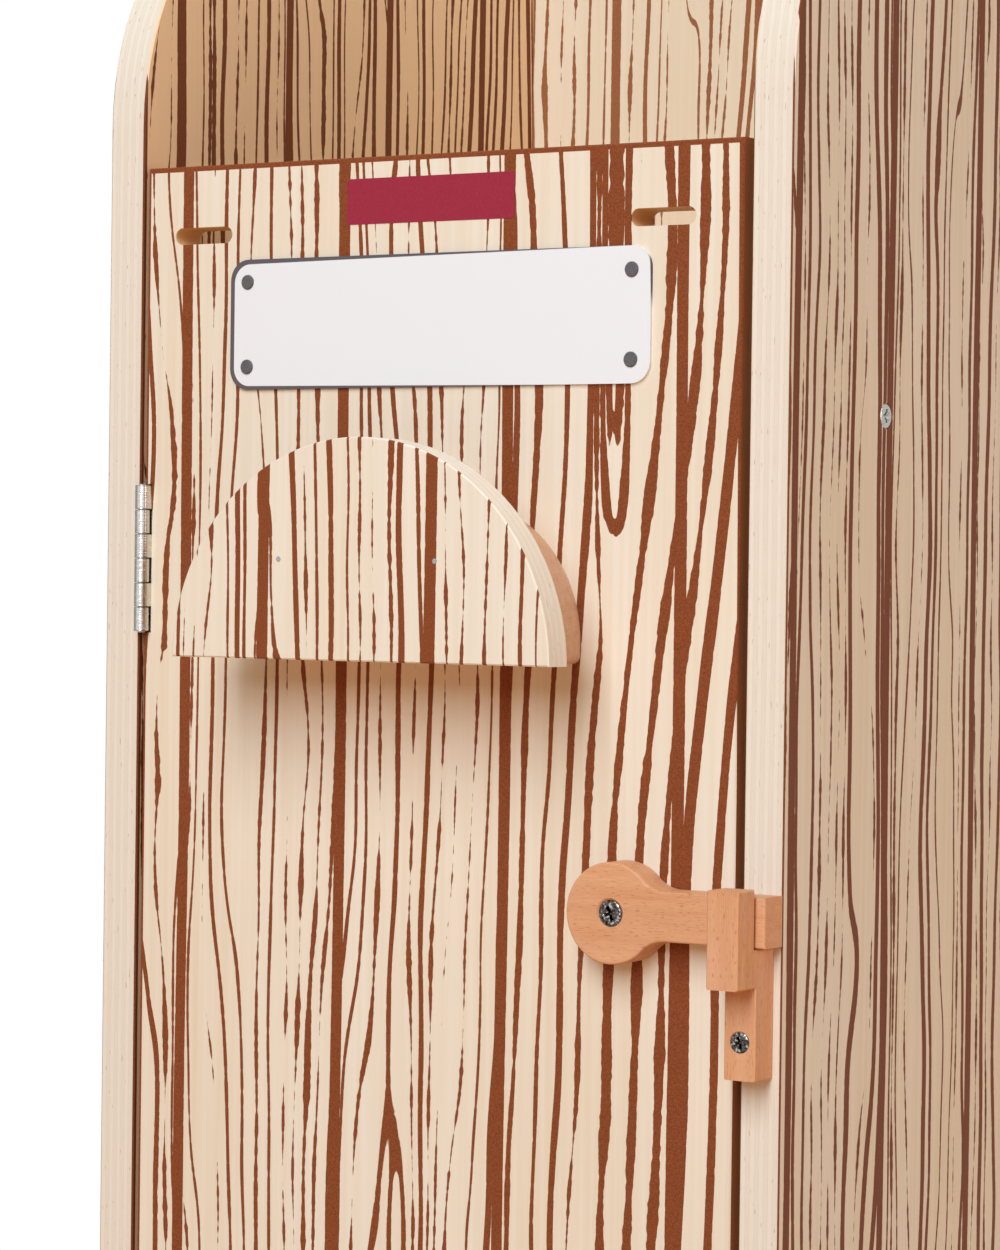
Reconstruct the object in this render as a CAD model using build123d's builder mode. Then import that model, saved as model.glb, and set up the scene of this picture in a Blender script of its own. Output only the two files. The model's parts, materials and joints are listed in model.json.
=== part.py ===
from build123d import *
import os

# Stable for hobby horses: a tall, narrow box of printed plywood, open at the top and above its door.
# The door hangs on two butt hinges at the left, carries a half-round saddle rack, and is held shut by
# a turning beech latch that drops into a hook on the right side panel.
# Millimetres. X runs from the hinge side to the latch side, Y from front to back, Z up.
# The origin is the middle of the base, on the floor.

# Sheet stock
board = 15.0  # plywood of the box and the door
rack_board = 12.0  # plywood of the rack's front plate
edge_ease = 0.5  # small bevel along the sawn edges

# Box
opening_width = 250.0  # between the side panels
side_depth = 280.0  # front edge to back edge
side_height = 750.0
corner_radius = 100.0  # rounding of the side panels' top front corners
back_board = 15.0  # plywood of the back panel
floor_board = 15.0  # plywood of the floor

# Door
door_drop = 116.0  # top of the side panels down to the door's top edge
hinge_gap = 2.2  # between the door and the hinge-side panel
free_gap = 3.1  # between the door and the latch-side panel
floor_gap = 3.0  # between the door and the floor panel
slot_length = 25.0
slot_width = 6.0
slot_drop = 25.0  # door's top edge down to the slots' centre line
slot_from_hinge_edge = 12.5
slot_from_free_edge = 17.8

# Name plate on the door
plate_length = 172.5
plate_height = 46.0
plate_thickness = 1.2
plate_drop = 34.3  # door's top edge down to the plate's top edge
plate_shift = 2.0  # from the door's middle towards the latch
plate_corner_radius = 7.5
plate_pin_inset_x = 7.4
plate_pin_inset_z = 8.0
plate_pin_head_radius = 2.6
plate_pin_head = 0.7  # thickness of a pin's head
plate_pin_radius = 1.0
plate_pin_length = 10.0  # in the plate and the door

# Saddle rack
rack_width = 153.0  # front plate, along its flat underside
rack_height = 75.4  # front plate, to the top of its arc
rack_drop = 174.4  # door's top edge down to the rack's flat underside
block_depth = 32.0  # from the door's face to the plate
block_width = 124.0
block_height = 55.0
block_corner_radius = 48.0
block_foot_radius = 3.0
brad_spacing = 63.4
brad_rise = 34.0  # above the rack's underside
brad_radius = 0.9
brad_length = 28.0
rack_screw_spacing = 70.0
rack_screw_rise = 20.0
rack_screw_length = 38.0

# Latch
latch_drop = 256.4  # door's top edge down to the latch's pivot
latch_inset = 43.3  # from the pivot to the latch-side panel's inner face
latch_disc_radius = 17.0
latch_arm_height = 16.6
latch_thickness = 12.0
latch_neck_radius = 12.0  # hollow where the arm meets the disc
latch_stand_off = 0.4  # running gap behind the latch
latch_seat_gap = 0.3  # under the arm, where it rests in its hook
latch_ease = 0.8  # rounding of the front edges

# Hook that holds the latch
keeper_width = 11.5
keeper_offset = 0.5  # from the side panel's inner face
keeper_depth = 12.4  # the body, from the side panel's front edge
keeper_throat = 13.6  # depth of the space for the arm
keeper_lip = 11.5  # thickness of the hook in front of the arm
keeper_body_height = 43.0  # below the arm's seat
keeper_lip_rise = 19.6  # above the seat
keeper_lip_fall = 12.6  # below the seat
keeper_screw_fall = 30.6  # below the seat

# Butt hinges
knuckle_radius = 2.7
leaf_thickness = 1.1
knuckle_pitch = 8.8
knuckle_count = 6
knuckle_gap = 0.3  # between neighbouring knuckles
roll_gap = 0.25  # slit where each rolled knuckle ends against its leaf
hinge_proud = 2.2  # the pin's axis in front of the door's face
hinge_drop = 140.6  # the hinges' centres from the door's top and bottom edges
leaf_reach = 13.0  # how far the leaves run back behind the door's face
notch_gap = 0.3  # between a leaf and the other leaf's knuckles
mortise_gap = 0.4  # above and below a leaf that is let into the door
pin_fit = 0.05
pin_proud = 0.4  # the pin's ends beyond the knuckles

# Shelf for the poles, behind the door
shelf_board = 15.0
shelf_drop = 89.0  # door's top edge down to the middle of the shelf
shelf_gap = 3.0  # between the door and the shelf's front edge
pole_slot_width = 40.0
pole_slot_mouth_radius = 12.0

# Wood screws
panel_screw_inset = 70.0  # from the side panels' front and back edges
back_screw_inset = 60.0  # from the side panels' top and bottom edges
back_screw_count = 4
panel_screw_length = 40.0
panel_screw_radius = 2.2
panel_head_radius = 4.6
hinge_screw_length = 12.0
hinge_screw_radius = 1.2
hinge_head_radius = 2.5
hinge_screw_end = 8.0  # from a leaf's ends to its outer screws
keeper_screw_length = 34.0
keeper_screw_radius = 1.8
keeper_head_radius = 3.8
pivot_screw_length = 24.0
pivot_screw_radius = 2.5
pivot_head_radius = 4.7
pivot_fit = 0.08  # between the latch's bore and its screw
pivot_head_gap = 0.45  # between the latch's countersink and its screw
screw_fit = 0.05  # between a screw and its hole

# Worked out from the sizes above
half_opening = opening_width / 2
front_y = -side_depth / 2
back_y = side_depth / 2
outer_x = half_opening + board
back_face_y = back_y - back_board

door_left = -half_opening + hinge_gap
door_right = half_opening - free_gap
door_width = door_right - door_left
door_x = (door_left + door_right) / 2
door_top = side_height - door_drop
door_bottom = floor_board + floor_gap
door_height = door_top - door_bottom
door_back_y = front_y + board
slot_z = door_top - slot_drop
slot_places = (
    door_left + slot_from_hinge_edge + slot_length / 2,
    door_right - slot_from_free_edge - slot_length / 2,
)

plate_x = door_x + plate_shift
plate_z = door_top - plate_drop - plate_height / 2
plate_face_y = front_y - plate_thickness

rack_bottom = door_top - rack_drop
rack_back_y = front_y - block_depth  # where the front plate meets the block
rack_front_y = rack_back_y - rack_board

latch_x = half_opening - latch_inset
latch_z = door_top - latch_drop
latch_back_y = front_y - latch_stand_off
latch_front_y = latch_back_y - latch_thickness
latch_reach = outer_x - latch_x  # the arm ends level with the side panel's outer face
seat_z = latch_z - latch_arm_height / 2 - latch_seat_gap

hinge_height = knuckle_pitch * knuckle_count
hinge_x = -half_opening + knuckle_radius  # the box's leaf lies on the side panel
hinge_y = front_y - hinge_proud
hinge_centres = {"upper": door_top - hinge_drop, "lower": door_bottom + hinge_drop}
leaf_inner = knuckle_radius - leaf_thickness  # a leaf's inner face, from the pin's axis
leaf_back = hinge_proud + leaf_reach
leaf_front = knuckle_radius + notch_gap
pin_radius = leaf_inner - pin_fit - pin_fit
knuckle_bore = pin_radius + pin_fit
leaf_screw_y = hinge_y + (leaf_front + leaf_back) / 2
leaf_screw_rise = hinge_height / 2 - hinge_screw_end

shelf_z = door_top - shelf_drop
shelf_front_y = door_back_y + shelf_gap
shelf_depth = back_face_y - shelf_front_y
pole_slot_depth = -shelf_front_y + pole_slot_width / 2  # so that a pole stands over the base's middle


def wood_screw(head_radius, shank_radius, length):
    """A countersunk screw: its head's top at the origin, its end down -Z."""
    cone = head_radius - shank_radius
    with BuildPart() as screw:
        with BuildSketch(Plane.XZ):
            with BuildLine():
                Polyline(
                    (0, 0),
                    (head_radius, 0),
                    (shank_radius, -cone),
                    (shank_radius, -length),
                    (0, -length),
                    close=True,
                )
            make_face()
        revolve(axis=Axis.Z)
    return screw.part


def screw_hole(head_radius, shank_radius, length):
    """Cuts a matching countersunk hole at the current locations."""
    CounterSinkHole(
        radius=shank_radius + screw_fit,
        counter_sink_radius=head_radius + screw_fit,
        depth=length + screw_fit,
        counter_sink_angle=90,
    )


# Places of the screws, each with its head's outward direction

def panel_screw_places(side):
    """Screws through one side panel into the floor, the shelf and the back; side is -1 or +1."""
    rows = [(y, z) for y in (front_y + panel_screw_inset, back_y - panel_screw_inset)
            for z in (floor_board / 2, shelf_z)]
    step = (side_height - 2 * back_screw_inset) / (back_screw_count - 1)
    rows += [(back_y - back_board / 2, back_screw_inset + step * n) for n in range(back_screw_count)]
    return [Plane(origin=(side * outer_x, y, z), z_dir=(side, 0, 0)) for y, z in rows]


def leaf_screw_places(side, centre_z):
    """Screws through one hinge leaf; side is -1 for the box's leaf and +1 for the door's."""
    x = hinge_x + side * leaf_inner
    rises = (-leaf_screw_rise, 0, leaf_screw_rise)
    return [Plane(origin=(x, leaf_screw_y, centre_z + rise), z_dir=(-side, 0, 0)) for rise in rises]


frame_leaf_screws = [place for z in hinge_centres.values() for place in leaf_screw_places(-1, z)]
door_leaf_screws = [place for z in hinge_centres.values() for place in leaf_screw_places(1, z)]
keeper_x = half_opening + keeper_offset + keeper_width / 2
keeper_screw_place = Plane(
    origin=(keeper_x, front_y - keeper_depth, seat_z - keeper_screw_fall), z_dir=(0, -1, 0)
)
pivot_place = Plane(origin=(latch_x, latch_front_y, latch_z), z_dir=(0, -1, 0))
rack_screw_places = [
    Plane(
        origin=(door_x + side * rack_screw_spacing / 2, door_back_y, rack_bottom + rack_screw_rise),
        z_dir=(0, 1, 0),
    )
    for side in (-1, 1)
]
brad_places = [
    Plane(
        origin=(door_x + side * brad_spacing / 2, rack_front_y, rack_bottom + brad_rise),
        z_dir=(0, -1, 0),
    )
    for side in (-1, 1)
]
plate_pin_places = [
    Plane(
        origin=(
            plate_x + side * (plate_length / 2 - plate_pin_inset_x),
            plate_face_y,
            plate_z + level * (plate_height / 2 - plate_pin_inset_z),
        ),
        z_dir=(0, -1, 0),
    )
    for side in (-1, 1)
    for level in (-1, 1)
]


# Side panels: full height, with a large rounding at the top front corner

def side_panel(side):
    """One side panel, drilled for its screws; side is -1 at the hinges and +1 at the latch."""
    inner_x = side * half_opening
    with BuildPart() as panel:
        with BuildSketch(Plane.YZ.offset(inner_x)) as outline:
            with Locations((0, side_height / 2)):
                Rectangle(side_depth, side_height)
            fillet(outline.vertices().group_by(Axis.Y)[-1].sort_by(Axis.X)[0], corner_radius)
        extrude(amount=side * board)
        chamfer(panel.faces().filter_by(Axis.X).edges(), edge_ease)
        with Locations(*panel_screw_places(side)):
            screw_hole(panel_head_radius, panel_screw_radius, panel_screw_length)
        if side < 0:
            with Locations(*frame_leaf_screws):
                screw_hole(hinge_head_radius, hinge_screw_radius, hinge_screw_length)
        else:
            with Locations(keeper_screw_place):
                Hole(radius=keeper_screw_radius + screw_fit, depth=keeper_screw_length + screw_fit)
    return panel.part


left_side_panel = side_panel(-1)
right_side_panel = side_panel(1)


# Back panel and floor: set between the side panels

with BuildPart() as back_panel:
    with BuildSketch(Plane.XZ.offset(-back_face_y)):
        with Locations((0, side_height / 2)):
            Rectangle(opening_width, side_height)
    extrude(amount=-back_board)
    for side in (-1, 1):
        with Locations(*panel_screw_places(side)):
            Hole(radius=panel_screw_radius + screw_fit, depth=panel_screw_length + screw_fit)

with BuildPart() as floor_panel:
    with BuildSketch(Plane.XY):
        with Locations((0, (front_y + back_face_y) / 2)):
            Rectangle(opening_width, back_face_y - front_y)
    extrude(amount=floor_board)
    chamfer(floor_panel.edges().filter_by(Axis.X).group_by(Axis.Y)[0], edge_ease)
    for side in (-1, 1):
        with Locations(*panel_screw_places(side)):
            Hole(radius=panel_screw_radius + screw_fit, depth=panel_screw_length + screw_fit)


# Shelf with a slot from its front edge, in which the hobby horses' poles stand

with BuildPart() as pole_shelf:
    with BuildSketch(Plane.XY.offset(shelf_z - shelf_board / 2)) as shelf_outline:
        with Locations((0, shelf_front_y + shelf_depth / 2)):
            Rectangle(opening_width, shelf_depth)
        with Locations((0, shelf_front_y)):
            SlotOverall(2 * pole_slot_depth, pole_slot_width, rotation=90, mode=Mode.SUBTRACT)
        mouth = shelf_outline.vertices().group_by(Axis.Y)[0].sort_by(Axis.X)[1:3]
        fillet(mouth, pole_slot_mouth_radius)
    extrude(amount=shelf_board)
    for side in (-1, 1):
        with Locations(*panel_screw_places(side)):
            Hole(radius=panel_screw_radius + screw_fit, depth=panel_screw_length + screw_fit)


# Door: two obround slots near its top edge, and a mortise for each hinge leaf

mortise_height = hinge_height + 2 * mortise_gap
mortise_right = hinge_x + knuckle_radius

with BuildPart() as door_panel:
    with BuildSketch(Plane.XZ.offset(-front_y)):
        with Locations((door_x, door_bottom + door_height / 2)):
            Rectangle(door_width, door_height)
        with Locations(*[(x, slot_z) for x in slot_places]):
            SlotOverall(slot_length, slot_width, mode=Mode.SUBTRACT)
    extrude(amount=-board)
    for face in door_panel.faces().filter_by(Axis.Y):
        chamfer(face.outer_wire().edges(), edge_ease)
    for centre_z in hinge_centres.values():
        with BuildSketch(Plane.XY.offset(centre_z - mortise_height / 2)):
            with Locations((door_left, front_y)):
                Rectangle(2 * (mortise_right - door_left), 2 * (leaf_reach + mortise_gap))
        extrude(amount=mortise_height, mode=Mode.SUBTRACT)
    with Locations(*door_leaf_screws):
        screw_hole(hinge_head_radius, hinge_screw_radius, hinge_screw_length)
    with Locations(pivot_place):
        Hole(radius=pivot_screw_radius + screw_fit, depth=pivot_screw_length + screw_fit)
    with Locations(*rack_screw_places):
        screw_hole(panel_head_radius, panel_screw_radius, rack_screw_length)
    with Locations(*plate_pin_places):
        Hole(radius=plate_pin_radius + screw_fit, depth=plate_pin_length + screw_fit)


# Name plate: a thin plate held by a round-headed pin in each corner

with BuildPart() as name_plate:
    with BuildSketch(Plane.XZ.offset(-front_y)):
        with Locations((plate_x, plate_z)):
            RectangleRounded(plate_length, plate_height, plate_corner_radius)
    extrude(amount=plate_thickness)
    with Locations(*plate_pin_places):
        Hole(radius=plate_pin_radius + screw_fit, depth=plate_pin_length)

with BuildPart() as name_plate_pins:
    for place in plate_pin_places:
        with BuildSketch(place):
            Circle(plate_pin_head_radius)
        extrude(amount=plate_pin_head)
        with BuildSketch(place):
            Circle(plate_pin_radius)
        extrude(amount=-plate_pin_length)
    chamfer(name_plate_pins.faces().group_by(Axis.Y)[0].edges(), plate_pin_head / 2)


# Saddle rack: a beech block on the door, and a half-round plate of printed plywood in front of it

with BuildPart() as rack_block:
    with BuildSketch(Plane.XZ.offset(-front_y)) as block_outline:
        with Locations((door_x, rack_bottom + block_height / 2)):
            Rectangle(block_width, block_height)
        fillet(block_outline.vertices().group_by(Axis.Y)[-1], block_corner_radius)
        fillet(block_outline.vertices().group_by(Axis.Y)[0], block_foot_radius)
    extrude(amount=block_depth)
    with Locations(*rack_screw_places):
        Hole(radius=panel_screw_radius + screw_fit, depth=rack_screw_length + screw_fit)
    with Locations(*brad_places):
        Hole(radius=brad_radius + screw_fit, depth=brad_length + screw_fit)

with BuildPart() as rack_front_plate:
    with BuildSketch(Plane.XZ.offset(-rack_back_y)):
        with BuildLine():
            start = (door_x - rack_width / 2, rack_bottom)
            end = (door_x + rack_width / 2, rack_bottom)
            ThreePointArc(start, (door_x, rack_bottom + rack_height), end)
            Line(end, start)
        make_face()
    extrude(amount=rack_board)
    chamfer(rack_front_plate.faces().filter_by(Axis.Y).edges(), edge_ease)
    with Locations(*brad_places):
        Hole(radius=brad_radius + screw_fit, depth=brad_length + screw_fit)

with BuildPart() as rack_brads:
    for place in brad_places:
        with BuildSketch(place):
            Circle(brad_radius)
        extrude(amount=-brad_length)

with BuildPart() as rack_screws:
    with Locations(*rack_screw_places):
        add(wood_screw(panel_head_radius, panel_screw_radius, rack_screw_length))


# Latch: a disc and an arm in one piece of beech, turning on its screw

with BuildPart() as latch_arm:
    with BuildSketch(Plane.XZ.offset(-latch_back_y)) as latch_outline:
        with Locations((latch_x, latch_z)):
            Circle(latch_disc_radius)
        with Locations((latch_x + latch_reach / 2, latch_z)):
            Rectangle(latch_reach, latch_arm_height)
        fillet(latch_outline.vertices().group_by(Axis.X)[-2], latch_neck_radius)
    extrude(amount=latch_thickness)
    fillet(latch_arm.faces().sort_by(Axis.Y)[0].edges(), latch_ease)
    with Locations(pivot_place):
        CounterSinkHole(
            radius=pivot_screw_radius + pivot_fit,
            counter_sink_radius=pivot_head_radius + pivot_head_gap,
            depth=latch_thickness + pivot_fit,
            counter_sink_angle=90,
        )

with BuildPart() as latch_pivot_screw:
    with Locations(pivot_place):
        add(wood_screw(pivot_head_radius, pivot_screw_radius, pivot_screw_length))


# Keeper: a beech hook on the side panel's front edge, open upwards for the arm

with BuildPart() as latch_keeper:
    body_y = front_y - keeper_depth
    throat_y = front_y - keeper_throat
    lip_y = throat_y - keeper_lip
    with BuildSketch(Plane.YZ.offset(half_opening + keeper_offset)):
        with BuildLine():
            Polyline(
                (front_y, seat_z),
                (front_y, seat_z - keeper_body_height),
                (body_y, seat_z - keeper_body_height),
                (body_y, seat_z - keeper_lip_fall),
                (lip_y, seat_z - keeper_lip_fall),
                (lip_y, seat_z + keeper_lip_rise),
                (throat_y, seat_z + keeper_lip_rise),
                (throat_y, seat_z),
                close=True,
            )
        make_face()
    extrude(amount=keeper_width)
    chamfer(latch_keeper.faces().filter_by(Axis.X).edges(), edge_ease)
    with Locations(keeper_screw_place):
        screw_hole(keeper_head_radius, keeper_screw_radius, keeper_screw_length)

with BuildPart() as keeper_screw:
    with Locations(keeper_screw_place):
        add(wood_screw(keeper_head_radius, keeper_screw_radius, keeper_screw_length))


# Butt hinges: a leaf of sheet metal each side, rolled into alternate knuckles round one pin

def hinge_leaf(side, centre_z):
    """One leaf; side is -1 for the box's, with the lowest knuckle, and +1 for the door's."""
    bottom = Plane(origin=(hinge_x, hinge_y, centre_z - hinge_height / 2))
    leaf_middle = side * (knuckle_radius - leaf_thickness / 2)
    slit_middle = side * (leaf_inner - roll_gap / 2)
    first = 0 if side < 0 else 1
    with BuildPart() as leaf:
        with BuildSketch(bottom):
            with Locations((leaf_middle, (leaf_front + leaf_back) / 2)):
                Rectangle(leaf_thickness, leaf_back - leaf_front)
        extrude(amount=hinge_height)
        for index in range(first, knuckle_count, 2):
            with BuildSketch(bottom.offset(knuckle_pitch * index + knuckle_gap / 2)):
                Circle(knuckle_radius)
                with Locations((leaf_middle, leaf_back / 2)):
                    Rectangle(leaf_thickness, leaf_back)
                Circle(knuckle_bore, mode=Mode.SUBTRACT)
                with Locations((slit_middle, knuckle_radius / 2)):
                    Rectangle(roll_gap, knuckle_radius, mode=Mode.SUBTRACT)
            extrude(amount=knuckle_pitch - knuckle_gap)
        with Locations(*leaf_screw_places(side, centre_z)):
            screw_hole(hinge_head_radius, hinge_screw_radius, hinge_screw_length)
    return leaf.part


def hinge_pin(centre_z):
    """The pin, a little longer than the row of knuckles."""
    pin_length = hinge_height + 2 * pin_proud
    with BuildPart() as pin:
        with BuildSketch(Plane(origin=(hinge_x, hinge_y, centre_z - pin_length / 2))):
            Circle(pin_radius)
        extrude(amount=pin_length)
        chamfer(pin.edges(), pin_proud / 2)
    return pin.part


def screw_set(places, head_radius, shank_radius, length):
    """A set of identical wood screws, one at each place."""
    with BuildPart() as screws:
        with Locations(*places):
            add(wood_screw(head_radius, shank_radius, length))
    return screws.part


pieces = {
    "left_side_panel": left_side_panel,
    "right_side_panel": right_side_panel,
    "back_panel": back_panel.part,
    "floor_panel": floor_panel.part,
    "pole_shelf": pole_shelf.part,
    "left_panel_screws": screw_set(
        panel_screw_places(-1), panel_head_radius, panel_screw_radius, panel_screw_length
    ),
    "right_panel_screws": screw_set(
        panel_screw_places(1), panel_head_radius, panel_screw_radius, panel_screw_length
    ),
    "latch_keeper": latch_keeper.part,
    "keeper_screw": keeper_screw.part,
    "door_panel": door_panel.part,
    "name_plate": name_plate.part,
    "name_plate_pins": name_plate_pins.part,
    "rack_block": rack_block.part,
    "rack_front_plate": rack_front_plate.part,
    "rack_brads": rack_brads.part,
    "rack_screws": rack_screws.part,
    "latch_arm": latch_arm.part,
    "latch_pivot_screw": latch_pivot_screw.part,
    "hinge_frame_screws": screw_set(
        frame_leaf_screws, hinge_head_radius, hinge_screw_radius, hinge_screw_length
    ),
    "hinge_door_screws": screw_set(
        door_leaf_screws, hinge_head_radius, hinge_screw_radius, hinge_screw_length
    ),
}
for level, centre_z in hinge_centres.items():
    pieces[level + "_hinge_frame_leaf"] = hinge_leaf(-1, centre_z)
    pieces[level + "_hinge_door_leaf"] = hinge_leaf(1, centre_z)
    pieces[level + "_hinge_pin"] = hinge_pin(centre_z)

os.makedirs("parts", exist_ok=True)
for name, piece in pieces.items():
    piece.label = name
    export_step(piece, "parts/" + name + ".step")
    print(name, "solids", len(piece.solids()), "volume", round(piece.volume))
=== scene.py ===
# %% [markdown]
# # A stable for hobby horses
#
# The object is a tall plywood box, printed all over with brown wood-grain lines. It has a door on two
# butt hinges, a half-round saddle rack, a white name plate, and a beech latch that drops into a hook.
#
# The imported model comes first. It is the fixed frame: every board, screw and hinge is already where
# it belongs, in metres, so this lesson adds finishes, small fittings, light and a camera.

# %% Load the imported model
import json
import math
import random
import bmesh
import bpy
from mathutils import Matrix, Vector


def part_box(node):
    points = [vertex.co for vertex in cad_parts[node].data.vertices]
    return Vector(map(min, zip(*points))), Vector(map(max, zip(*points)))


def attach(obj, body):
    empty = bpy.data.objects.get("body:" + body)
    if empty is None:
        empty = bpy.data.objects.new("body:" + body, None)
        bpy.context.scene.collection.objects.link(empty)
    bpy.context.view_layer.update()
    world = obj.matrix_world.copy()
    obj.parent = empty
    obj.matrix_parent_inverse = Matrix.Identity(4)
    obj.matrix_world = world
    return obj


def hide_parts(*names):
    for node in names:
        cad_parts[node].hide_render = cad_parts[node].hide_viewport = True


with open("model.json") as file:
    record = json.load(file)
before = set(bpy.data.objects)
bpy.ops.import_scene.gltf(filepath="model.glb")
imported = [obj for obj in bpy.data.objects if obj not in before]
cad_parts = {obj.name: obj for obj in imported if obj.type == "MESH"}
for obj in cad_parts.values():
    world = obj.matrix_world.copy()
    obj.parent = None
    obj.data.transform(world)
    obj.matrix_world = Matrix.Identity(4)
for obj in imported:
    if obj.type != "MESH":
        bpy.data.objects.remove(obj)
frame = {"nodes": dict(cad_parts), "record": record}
nodes = frame["nodes"]
body_of = {node: body for body, held in frame["record"]["behaviour"]["bodies"].items() for node in held}
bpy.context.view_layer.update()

# %% [markdown]
# ## Shader maths as plain expressions
#
# A material here is a recipe of noise and arithmetic. Wiring Math nodes by hand is slow to write and
# hard to read, so a small class wraps a socket, and an expression such as `1 - mask * 0.5` adds the
# nodes by itself. One more method adds any other node: its settings first, then what goes into it.

# %% A wire that can be used in expressions
class Wire:
    """An output socket; each operator adds one Math node to its recipe."""

    def __init__(self, recipe, socket):
        self.recipe = recipe
        self.socket = socket

    def math(self, operation, *values):
        return self.recipe.node("ShaderNodeMath", {"operation": operation}, dict(enumerate(values)))

    def __add__(self, other):
        return self.math("ADD", self, other)

    def __sub__(self, other):
        return self.math("SUBTRACT", self, other)

    def __rsub__(self, other):
        return self.math("SUBTRACT", other, self)

    def __mul__(self, other):
        return self.math("MULTIPLY", self, other)

    def __truediv__(self, other):
        return self.math("DIVIDE", self, other)

    def __abs__(self):
        return self.math("ABSOLUTE", self)

    def __or__(self, other):
        return self.math("MAXIMUM", self, other)

    def __and__(self, other):
        return self.math("MINIMUM", self, other)

    def floor(self):
        return self.math("FLOOR", self)

    def root(self):
        return self.math("SQRT", self)

    __radd__ = __add__
    __rmul__ = __mul__


# %% A tree of nodes, and the method that adds to it
class NodeTree:
    """A shader tree of a material or the world."""

    def __init__(self, tree):
        self.tree = tree

    def node(self, kind, settings=None, inputs=None, output=0):
        """Adds a node: its settings, then its inputs, which are numbers, colours or wires."""
        made = self.tree.nodes.new(kind)
        for name, value in (settings or {}).items():
            setattr(made, name, value)
        for key, value in (inputs or {}).items():
            if isinstance(value, Wire):
                self.tree.links.new(value.socket, made.inputs[key])
            else:
                made.inputs[key].default_value = value
        return Wire(self, made.outputs[output])

    def split(self, kind, value):
        """The three parts of a colour or a vector, each as a wire."""
        first = self.node(kind, inputs={0: value})
        return [Wire(self, socket) for socket in first.socket.node.outputs]

    def seen(self):
        """1 where the camera sees this surface, straight or in metal and glass, and 0 for its light."""
        rays = [self.node("ShaderNodeLightPath", output=name)
                for name in ("Is Camera Ray", "Is Glossy Ray", "Is Transmission Ray")]
        return rays[0] | rays[1] | rays[2]

    def place(self):
        """The shaded point in millimetres of the model's frame, as three wires."""
        point = self.node("ShaderNodeTexCoord", output="Object")
        point = self.node("ShaderNodeVectorMath", {"operation": "SCALE"}, {0: point, "Scale": 1000})
        return self.split("ShaderNodeSeparateXYZ", point)

    def noise(self, x, y, z=0.0, detail=0.0):
        """Smooth noise of about -1 to 1 at x, y, z."""
        point = self.node("ShaderNodeCombineXYZ", inputs={0: x, 1: y, 2: z})
        settings = {"noise_dimensions": "3D", "normalize": False}
        return self.node("ShaderNodeTexNoise", settings, {"Vector": point, "Scale": 1.0, "Detail": detail})

    def step(self, value, low, high, smooth=True):
        """0 below low, 1 above high, and a soft rise between them."""
        settings = {"interpolation_type": "SMOOTHSTEP" if smooth else "LINEAR"}
        return self.node("ShaderNodeMapRange", settings, {"Value": value, "From Min": low, "From Max": high})

    def mix(self, mask, under, over):
        """Colour `over` where the mask is 1, and `under` where it is 0."""
        return self.node("ShaderNodeMix", {"data_type": "RGBA"}, {0: mask, 6: under, 7: over}, output=2)

    def mix_number(self, mask, under, over):
        return self.node("ShaderNodeMix", {"data_type": "FLOAT"}, {0: mask, 2: under, 3: over})

    def shade(self, colour, factor):
        """A steady colour made lighter or darker by a wire near 1."""
        return self.node("ShaderNodeVectorMath", {"operation": "SCALE"}, {0: colour[:3], "Scale": factor})


# %% A recipe: one material on its Principled shader
class Recipe(NodeTree):
    """A finish, whose steady numbers are set on the shader itself."""

    def __init__(self, name, **steady):
        self.material = bpy.data.materials.new(name)
        self.material.use_nodes = True
        super().__init__(self.material.node_tree)
        self.shader = self.tree.nodes["Principled BSDF"]
        for socket, value in steady.items():
            self.shader.inputs[socket.replace("_", " ")].default_value = value

    def feed(self, socket, value):
        self.tree.links.new(value.socket, self.shader.inputs[socket])

    def bump(self, height, strength, distance):
        """Relief from a height of 0 to 1; distance is the relief's depth in metres."""
        steady = {"Strength": strength, "Distance": distance, "Height": height}
        self.feed("Normal", self.node("ShaderNodeBump", inputs=steady))


def srgb(red, green, blue):
    """A colour as it looks on a screen, 0 to 255, turned into the linear light that shaders use."""
    def linear(value):
        value = value / 255
        return value / 12.92 if value <= 0.04045 else ((value + 0.055) / 1.055) ** 2.4
    return (linear(red), linear(green), linear(blue), 1.0)


print("shader helpers ready")

# %% [markdown]
# ## The printed wood grain
#
# The boards are pale plywood, screen-printed with brown lines that imitate coarse grain. A drawn
# picture would need image files, and straight stripes would look like wallpaper. So each face is cut
# into narrow lanes, and every lane gets one line with its own width and place. Bending the coordinate
# before cutting the lanes makes the lines wander, and where the bend is strong it folds them into
# the long loops of cathedral grain. Dividing by the slope of the bend keeps a line's width even.
#
# Some lines are broken: their width is lowered until it runs below zero here and there, and the gap
# gets ragged ends. Last come the broad straight bands, at a steady 68 mm.
#
# The door's print changes from left to right. Towards its right edge the lines are bolder, stand
# further apart and lean over, and some fold into loops that open upwards.

# %% The print: ink from 0 to 1 at a point of a face
LANE = 6.3  # mm from one thin line to the next
BAND, BAND_HALF = 68.0, 2.3  # mm from one broad band to the next, and half the width of one
WHOLE_SHARE = 0.62  # of the thin lines; the others are broken
INK_EDGE = (-0.07, 0.09)  # mm over which the ink's edge softens

# How the lines are bent: lumps so many mm wide and so many high, which push a line by so many mm
DRIFT = (110, 420, 10)
WAVE = (15, 48, 1.7)
SWIRL = (17, 230, 15)

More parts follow.
